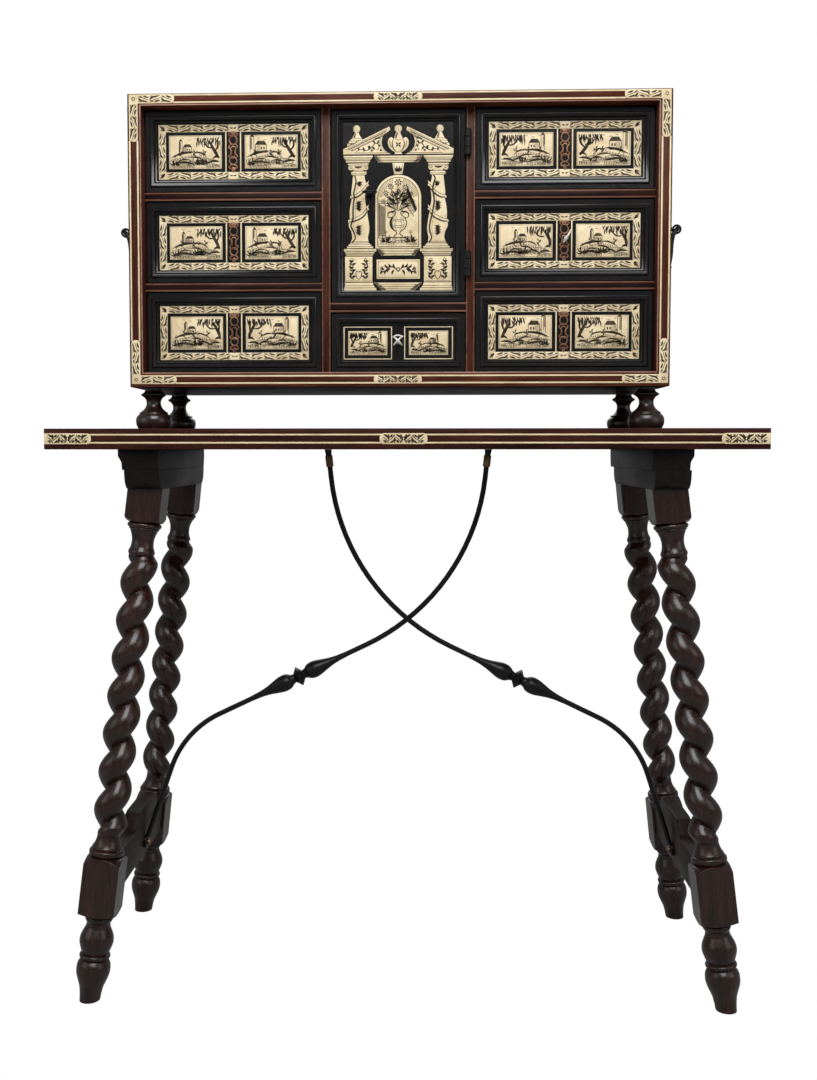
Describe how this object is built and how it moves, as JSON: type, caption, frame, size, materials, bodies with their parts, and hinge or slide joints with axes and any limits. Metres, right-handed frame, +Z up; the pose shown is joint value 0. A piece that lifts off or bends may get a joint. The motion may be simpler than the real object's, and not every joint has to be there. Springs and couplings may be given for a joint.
{
  "type": "vargueno",
  "caption": "Bone-inlaid wooden table cabinet with drawers round an architectural door, on a trestle stand with twisted splayed legs and crossed iron stretchers.",
  "frame": {"origin": "on the floor, under the middle of the table top", "axes": "+X to the right along the front, +Y to the back, +Z up"},
  "size_m": [1, 0.4, 1.295],
  "materials": {
    "rosewood": "satin",
    "carcass_wood": "satin",
    "leg_wood": "polished",
    "ebonised_wood": "satin",
    "drawer_lining_wood": "matte",
    "bone": "satin",
    "gilt_brass": "worn",
    "dull_brass": "aged",
    "forged_iron": "forged",
    "bright_steel": "polished"
  },
  "bodies": {
    "stand_and_carcass": {"table_top": "rosewood", "table_inlay": "bone", "upper_battens": "leg_wood", "head_rails": "leg_wood", "front_left_leg": "leg_wood", "rear_left_leg": "leg_wood", "front_right_leg": "leg_wood", "rear_right_leg": "leg_wood", "cross_rails": "leg_wood", "left_stretcher": "forged_iron", "right_stretcher": "forged_iron", "stretcher_fittings": "dull_brass", "cabinet_feet": "ebonised_wood", "cabinet_top": "rosewood", "cabinet_bottom": "rosewood", "cabinet_sides": "rosewood", "cabinet_back": "carcass_wood", "partitions": "carcass_wood", "drawer_rails": "carcass_wood", "cabinet_bone_lines": "bone", "cabinet_brackets": "bone", "handle_plates": "forged_iron", "fixed_hinge_leaves": "forged_iron"},
    "door": {"door_panel": "ebonised_wood", "door_moulding": "ebonised_wood", "door_facade": "bone", "door_irons": "forged_iron"},
    "left_top_drawer": {"left_top_drawer_front": "ebonised_wood", "left_top_drawer_tray": "drawer_lining_wood", "left_top_drawer_inlay": "bone", "left_top_drawer_lock": "gilt_brass"},
    "left_middle_drawer": {"left_middle_drawer_front": "ebonised_wood", "left_middle_drawer_tray": "drawer_lining_wood", "left_middle_drawer_inlay": "bone", "left_middle_drawer_lock": "gilt_brass"},
    "left_bottom_drawer": {"left_bottom_drawer_front": "ebonised_wood", "left_bottom_drawer_tray": "drawer_lining_wood", "left_bottom_drawer_inlay": "bone", "left_bottom_drawer_lock": "gilt_brass"},
    "right_top_drawer": {"right_top_drawer_front": "ebonised_wood", "right_top_drawer_tray": "drawer_lining_wood", "right_top_drawer_inlay": "bone", "right_top_drawer_lock": "gilt_brass"},
    "right_middle_drawer": {"right_middle_drawer_front": "ebonised_wood", "right_middle_drawer_tray": "drawer_lining_wood", "right_middle_drawer_inlay": "bone", "right_middle_drawer_lock": "gilt_brass"},
    "right_bottom_drawer": {"right_bottom_drawer_front": "ebonised_wood", "right_bottom_drawer_tray": "drawer_lining_wood", "right_bottom_drawer_inlay": "bone", "right_bottom_drawer_lock": "gilt_brass"},
    "center_drawer": {"center_drawer_front": "ebonised_wood", "center_drawer_tray": "drawer_lining_wood", "center_drawer_inlay": "bone", "center_drawer_lock": "gilt_brass"},
    "door_key": {"door_key": "forged_iron"},
    "right_drawer_key": {"right_drawer_key": "bright_steel"},
    "center_drawer_key": {"center_drawer_key": "bright_steel"},
    "left_handle": {"left_handle": "forged_iron"},
    "right_handle": {"right_handle": "forged_iron"}
  },
  "joints": [
    {"name": "left_top_drawer_slide", "type": "slide", "parent": "stand_and_carcass", "child": "left_top_drawer", "axis": [0, -1, 0], "range_m": [0, 0.16]},
    {"name": "left_middle_drawer_slide", "type": "slide", "parent": "stand_and_carcass", "child": "left_middle_drawer", "axis": [0, -1, 0], "range_m": [0, 0.16]},
    {"name": "left_bottom_drawer_slide", "type": "slide", "parent": "stand_and_carcass", "child": "left_bottom_drawer", "axis": [0, -1, 0], "range_m": [0, 0.16]},
    {"name": "right_top_drawer_slide", "type": "slide", "parent": "stand_and_carcass", "child": "right_top_drawer", "axis": [0, -1, 0], "range_m": [0, 0.16]},
    {"name": "right_middle_drawer_slide", "type": "slide", "parent": "stand_and_carcass", "child": "right_middle_drawer", "axis": [0, -1, 0], "range_m": [0, 0.16]},
    {"name": "right_bottom_drawer_slide", "type": "slide", "parent": "stand_and_carcass", "child": "right_bottom_drawer", "axis": [0, -1, 0], "range_m": [0, 0.16]},
    {"name": "center_drawer_slide", "type": "slide", "parent": "stand_and_carcass", "child": "center_drawer", "axis": [0, -1, 0], "range_m": [0, 0.16]},
    {"name": "door_hinge", "type": "hinge", "parent": "stand_and_carcass", "child": "door", "pos_m": [0.0892, -0.1483, 0.887], "axis": [0, 0, 1], "range_deg": [0, 90]},
    {"name": "door_key_turn", "type": "hinge", "parent": "door", "child": "door_key", "pos_m": [-0.0483, -0.137, 1.16], "axis": [0, -1, 0], "range_deg": [0, 90]},
    {"name": "right_drawer_key_turn", "type": "hinge", "parent": "right_middle_drawer", "child": "right_drawer_key", "pos_m": [0.2255, -0.137, 1.0928], "axis": [0, -1, 0], "range_deg": [0, 90]},
    {"name": "center_drawer_key_turn", "type": "hinge", "parent": "center_drawer", "child": "center_drawer_key", "pos_m": [-0.0085, -0.137, 0.9503], "axis": [0, -1, 0], "range_deg": [0, 90]},
    {"name": "left_handle_swing", "type": "hinge", "parent": "stand_and_carcass", "child": "left_handle", "pos_m": [-0.414, -0.037, 1.12], "axis": [0, 1, 0], "range_deg": [0, 90]},
    {"name": "right_handle_swing", "type": "hinge", "parent": "stand_and_carcass", "child": "right_handle", "pos_m": [0.397, -0.037, 1.12], "axis": [0, -1, 0], "range_deg": [0, 90]}
  ]
}
